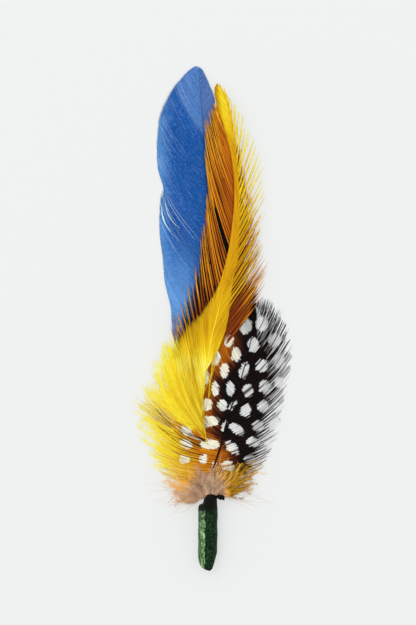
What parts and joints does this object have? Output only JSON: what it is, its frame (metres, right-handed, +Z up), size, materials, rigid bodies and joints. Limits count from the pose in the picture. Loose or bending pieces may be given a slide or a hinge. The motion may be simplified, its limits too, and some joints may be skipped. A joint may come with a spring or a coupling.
{
  "type": "feather hat trim",
  "caption": "Flat trim for a hat: dyed goose, hackle and spotted guinea fowl feathers fanned over each other, their quills bound with green floral tape.",
  "frame": {"origin": "middle of the flat on the underside of the taped stem, on the surface that the trim lies on", "axes": "+Y from the stem towards the feather tips, +X to the right as seen from above, +Z up"},
  "size_m": [0.0462, 0.1498, 0.0057],
  "materials": {
    "blue_feather": "satin",
    "orange_feather": "satin",
    "yellow_feather": "satin",
    "spotted_feather": "satin",
    "floral_tape": "satin"
  },
  "bodies": {
    "root": {"blue_goose_feather": "blue_feather", "orange_hackle_feather": "orange_feather", "yellow_hackle_feather": "yellow_feather", "guinea_fowl_feather": "spotted_feather", "stem_wrap": "floral_tape"}
  },
  "joints": []
}
